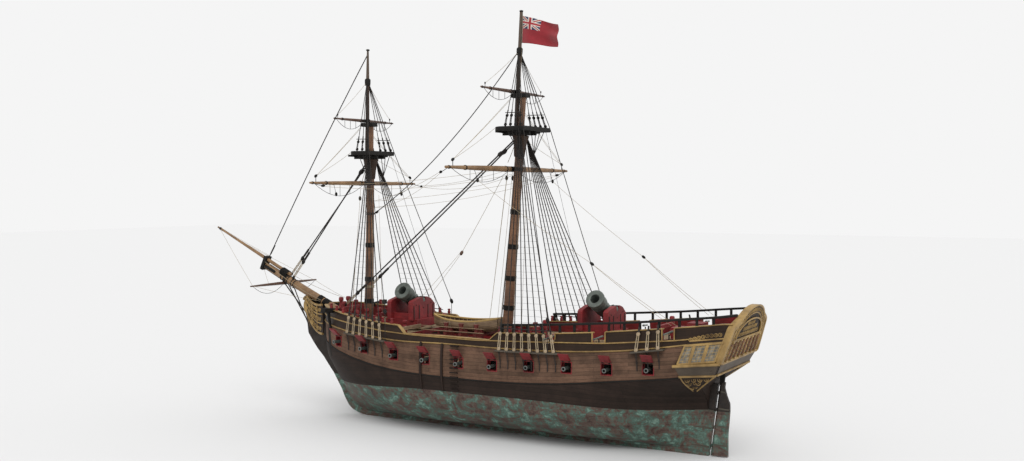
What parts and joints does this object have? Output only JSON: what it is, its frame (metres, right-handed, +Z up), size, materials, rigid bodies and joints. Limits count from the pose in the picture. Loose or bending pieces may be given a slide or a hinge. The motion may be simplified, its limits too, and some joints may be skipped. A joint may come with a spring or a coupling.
{
  "type": "tall ship, 1:2 scale model",
  "caption": "Two-masted square-rigged wooden sailing ship, 1:2 scale model, with bare yards, gunports with open lids, two deck mortars, a boat on skids, a carved stern and a hung rudder.",
  "frame": {"origin": "on the centreline amidships at the waterline, 1.5 m above the underside of the keel", "axes": "+X forward to the bow, +Y to port, +Z up"},
  "size_m": [21.7825, 8.26, 14.1932],
  "materials": {
    "copper": "weathered copper sheathing with verdigris",
    "oak": "weathered bare oak planking, tarred at the wales",
    "panel": "dark varnished panels with ochre rails",
    "gilt": "carved work in yellow ochre and old gilt",
    "deck": "scrubbed deck planks",
    "spar": "varnished spars with black bands",
    "yard": "bare yards",
    "black": "tarred black wood",
    "rope": "tarred hemp",
    "red": "red ochre paint",
    "iron": "grey-green cast iron",
    "boat": "pale clinker planks",
    "bunting": "wool bunting, red with a crossed canton"
  },
  "bodies": {
    "root": {"boat": "boat", "boat_skids": "red", "bowsprit": "spar", "bulwark_port": "panel", "bulwark_starboard": "panel", "flag": "bunting", "fore_stays": "rope", "fore_top": "black", "fore_topmast": "spar", "forecastle_deck": "deck", "foremast": "spar", "head_carving": "gilt", "hull_bottom": "copper", "hull_topsides": "oak", "jibboom": "spar", "keel": "copper", "main_stays": "rope", "main_top": "black", "main_topmast": "spar", "mainmast": "spar", "open_rail_port": "black", "open_rail_starboard": "black", "quarter_gallery_port": "gilt", "quarter_gallery_starboard": "gilt", "quarterdeck": "deck", "stem": "oak", "sternpost": "oak", "transom": "gilt", "waist_deck": "deck"},
    "rudder": {"rudder": "oak"},
    "fore_yard": {"fore_yard": "yard"},
    "fore_topsail_yard": {"fore_topsail_yard": "yard"},
    "main_yard": {"main_yard": "yard"},
    "main_topsail_yard": {"main_topsail_yard": "yard"},
    "spritsail_yard": {"spritsail_yard": "yard"},
    "mortar_fore_bed": {"mortar_fore_bed": "red"},
    "mortar_fore": {"mortar_fore": "iron"},
    "mortar_aft_bed": {"mortar_aft_bed": "red"},
    "mortar_aft": {"mortar_aft": "iron"},
    "lid_port_1": {"lid_port_1": "red"},
    "lid_port_2": {"lid_port_2": "red"},
    "lid_port_3": {"lid_port_3": "red"},
    "lid_port_4": {"lid_port_4": "red"},
    "lid_port_5": {"lid_port_5": "red"},
    "lid_port_6": {"lid_port_6": "red"},
    "lid_port_7": {"lid_port_7": "red"},
    "lid_port_8": {"lid_port_8": "red"},
    "lid_port_9": {"lid_port_9": "red"},
    "lid_port_10": {"lid_port_10": "red"},
    "lid_starboard_1": {"lid_starboard_1": "red"},
    "lid_starboard_2": {"lid_starboard_2": "red"},
    "lid_starboard_3": {"lid_starboard_3": "red"},
    "lid_starboard_4": {"lid_starboard_4": "red"},
    "lid_starboard_5": {"lid_starboard_5": "red"},
    "lid_starboard_6": {"lid_starboard_6": "red"},
    "lid_starboard_7": {"lid_starboard_7": "red"},
    "lid_starboard_8": {"lid_starboard_8": "red"},
    "lid_starboard_9": {"lid_starboard_9": "red"},
    "lid_starboard_10": {"lid_starboard_10": "red"}
  },
  "joints": [
    {"name": "rudder_swing", "type": "hinge", "parent": "root", "child": "rudder", "pos_m": [-6.52869, 0, -1.47], "axis": [-0.1297, 0, 0.9916], "range_deg": [-35, 35]},
    {"name": "fore_yard_brace", "type": "hinge", "parent": "root", "child": "fore_yard", "pos_m": [6.3511, 0, 6.945], "axis": [-0.02, 0, 0.9998], "range_deg": [-35, 35]},
    {"name": "fore_topsail_yard_brace", "type": "hinge", "parent": "root", "child": "fore_topsail_yard", "pos_m": [6.47969, 0, 9.205], "axis": [-0.0125, 0, 0.9999], "range_deg": [-35, 35]},
    {"name": "main_yard_brace", "type": "hinge", "parent": "root", "child": "main_yard", "pos_m": [0.23512, 0, 7.4], "axis": [-0.079, 0, 0.9969], "range_deg": [-35, 35]},
    {"name": "main_topsail_yard_brace", "type": "hinge", "parent": "root", "child": "main_topsail_yard", "pos_m": [0.25515, 0, 9.99], "axis": [-0.0494, 0, 0.9988], "range_deg": [-35, 35]},
    {"name": "spritsail_yard_top", "type": "hinge", "parent": "root", "child": "spritsail_yard", "pos_m": [10.332, 0, 3.356], "axis": [0.912, 0, 0.4101], "range_deg": [-35, 35]},
    {"name": "mortar_fore_traverse", "type": "hinge", "parent": "root", "child": "mortar_fore_bed", "pos_m": [4.6, 0, 1.90415], "axis": [0, 0, 1], "range_deg": [-45, 45]},
    {"name": "mortar_fore_elevate", "type": "hinge", "parent": "mortar_fore_bed", "child": "mortar_fore", "pos_m": [4.6, -0.05, 2.825], "axis": [1, 0, 0], "range_deg": [-15, 29]},
    {"name": "mortar_aft_traverse", "type": "hinge", "parent": "root", "child": "mortar_aft_bed", "pos_m": [-2.85, 0, 1.94039], "axis": [0, 0, 1], "range_deg": [-45, 45]},
    {"name": "mortar_aft_elevate", "type": "hinge", "parent": "mortar_aft_bed", "child": "mortar_aft", "pos_m": [-2.85, -0.05, 2.875], "axis": [1, 0, 0], "range_deg": [-15, 29]},
    {"name": "lid_port_1_hinge", "type": "hinge", "parent": "root", "child": "lid_port_1", "pos_m": [6.59014, 1.64942, 1.58], "axis": [0.9359, -0.3522, 0], "range_deg": [-60, 0]},
    {"name": "lid_port_2_hinge", "type": "hinge", "parent": "root", "child": "lid_port_2", "pos_m": [5.23073, 1.97783, 1.475], "axis": [0.9911, -0.1332, 0], "range_deg": [-60, 0]},
    {"name": "lid_port_3_hinge", "type": "hinge", "parent": "root", "child": "lid_port_3", "pos_m": [3.92114, 2.0799, 1.345], "axis": [0.9996, -0.0266, 0], "range_deg": [-60, 0]},
    {"name": "lid_port_4_hinge", "type": "hinge", "parent": "root", "child": "lid_port_4", "pos_m": [2.645, 2.09051, 1.29], "axis": [1, 0, 0], "range_deg": [-60, 0]},
    {"name": "lid_port_5_hinge", "type": "hinge", "parent": "root", "child": "lid_port_5", "pos_m": [1.335, 2.09156, 1.255], "axis": [1, 0, 0], "range_deg": [-60, 0]},
    {"name": "lid_port_6_hinge", "type": "hinge", "parent": "root", "child": "lid_port_6", "pos_m": [0.07, 2.09127, 1.265], "axis": [1, 0, 0], "range_deg": [-60, 0]},
    {"name": "lid_port_7_hinge", "type": "hinge", "parent": "root", "child": "lid_port_7", "pos_m": [-1.265, 2.08896, 1.335], "axis": [1, 0, 0], "range_deg": [-60, 0]},
    {"name": "lid_port_8_hinge", "type": "hinge", "parent": "root", "child": "lid_port_8", "pos_m": [-2.58584, 2.08073, 1.4], "axis": [0.9998, 0.0196, 0], "range_deg": [-60, 0]},
    {"name": "lid_port_9_hinge", "type": "hinge", "parent": "root", "child": "lid_port_9", "pos_m": [-3.91787, 2.02292, 1.44], "axis": [0.9978, 0.0668, 0], "range_deg": [-60, 0]},
    {"name": "lid_port_10_hinge", "type": "hinge", "parent": "root", "child": "lid_port_10", "pos_m": [-5.2343, 1.92258, 1.535], "axis": [0.995, 0.1001, 0], "range_deg": [-60, 0]},
    {"name": "lid_starboard_1_hinge", "type": "hinge", "parent": "root", "child": "lid_starboard_1", "pos_m": [6.59014, -1.64942, 1.58], "axis": [-0.9359, -0.3522, 0], "range_deg": [-60, 0]},
    {"name": "lid_starboard_2_hinge", "type": "hinge", "parent": "root", "child": "lid_starboard_2", "pos_m": [5.23073, -1.97783, 1.475], "axis": [-0.9911, -0.1332, 0], "range_deg": [-60, 0]},
    {"name": "lid_starboard_3_hinge", "type": "hinge", "parent": "root", "child": "lid_starboard_3", "pos_m": [3.92114, -2.0799, 1.345], "axis": [-0.9996, -0.0266, 0], "range_deg": [-60, 0]},
    {"name": "lid_starboard_4_hinge", "type": "hinge", "parent": "root", "child": "lid_starboard_4", "pos_m": [2.645, -2.09051, 1.29], "axis": [-1, 0, 0], "range_deg": [-60, 0]},
    {"name": "lid_starboard_5_hinge", "type": "hinge", "parent": "root", "child": "lid_starboard_5", "pos_m": [1.335, -2.09156, 1.255], "axis": [-1, 0, 0], "range_deg": [-60, 0]},
    {"name": "lid_starboard_6_hinge", "type": "hinge", "parent": "root", "child": "lid_starboard_6", "pos_m": [0.07, -2.09127, 1.265], "axis": [-1, 0, 0], "range_deg": [-60, 0]},
    {"name": "lid_starboard_7_hinge", "type": "hinge", "parent": "root", "child": "lid_starboard_7", "pos_m": [-1.265, -2.08896, 1.335], "axis": [-1, 0, 0], "range_deg": [-60, 0]},
    {"name": "lid_starboard_8_hinge", "type": "hinge", "parent": "root", "child": "lid_starboard_8", "pos_m": [-2.58584, -2.08073, 1.4], "axis": [-0.9998, 0.0196, 0], "range_deg": [-60, 0]},
    {"name": "lid_starboard_9_hinge", "type": "hinge", "parent": "root", "child": "lid_starboard_9", "pos_m": [-3.91787, -2.02292, 1.44], "axis": [-0.9978, 0.0668, 0], "range_deg": [-60, 0]},
    {"name": "lid_starboard_10_hinge", "type": "hinge", "parent": "root", "child": "lid_starboard_10", "pos_m": [-5.2343, -1.92258, 1.535], "axis": [-0.995, 0.1001, 0], "range_deg": [-60, 0]}
  ]
}
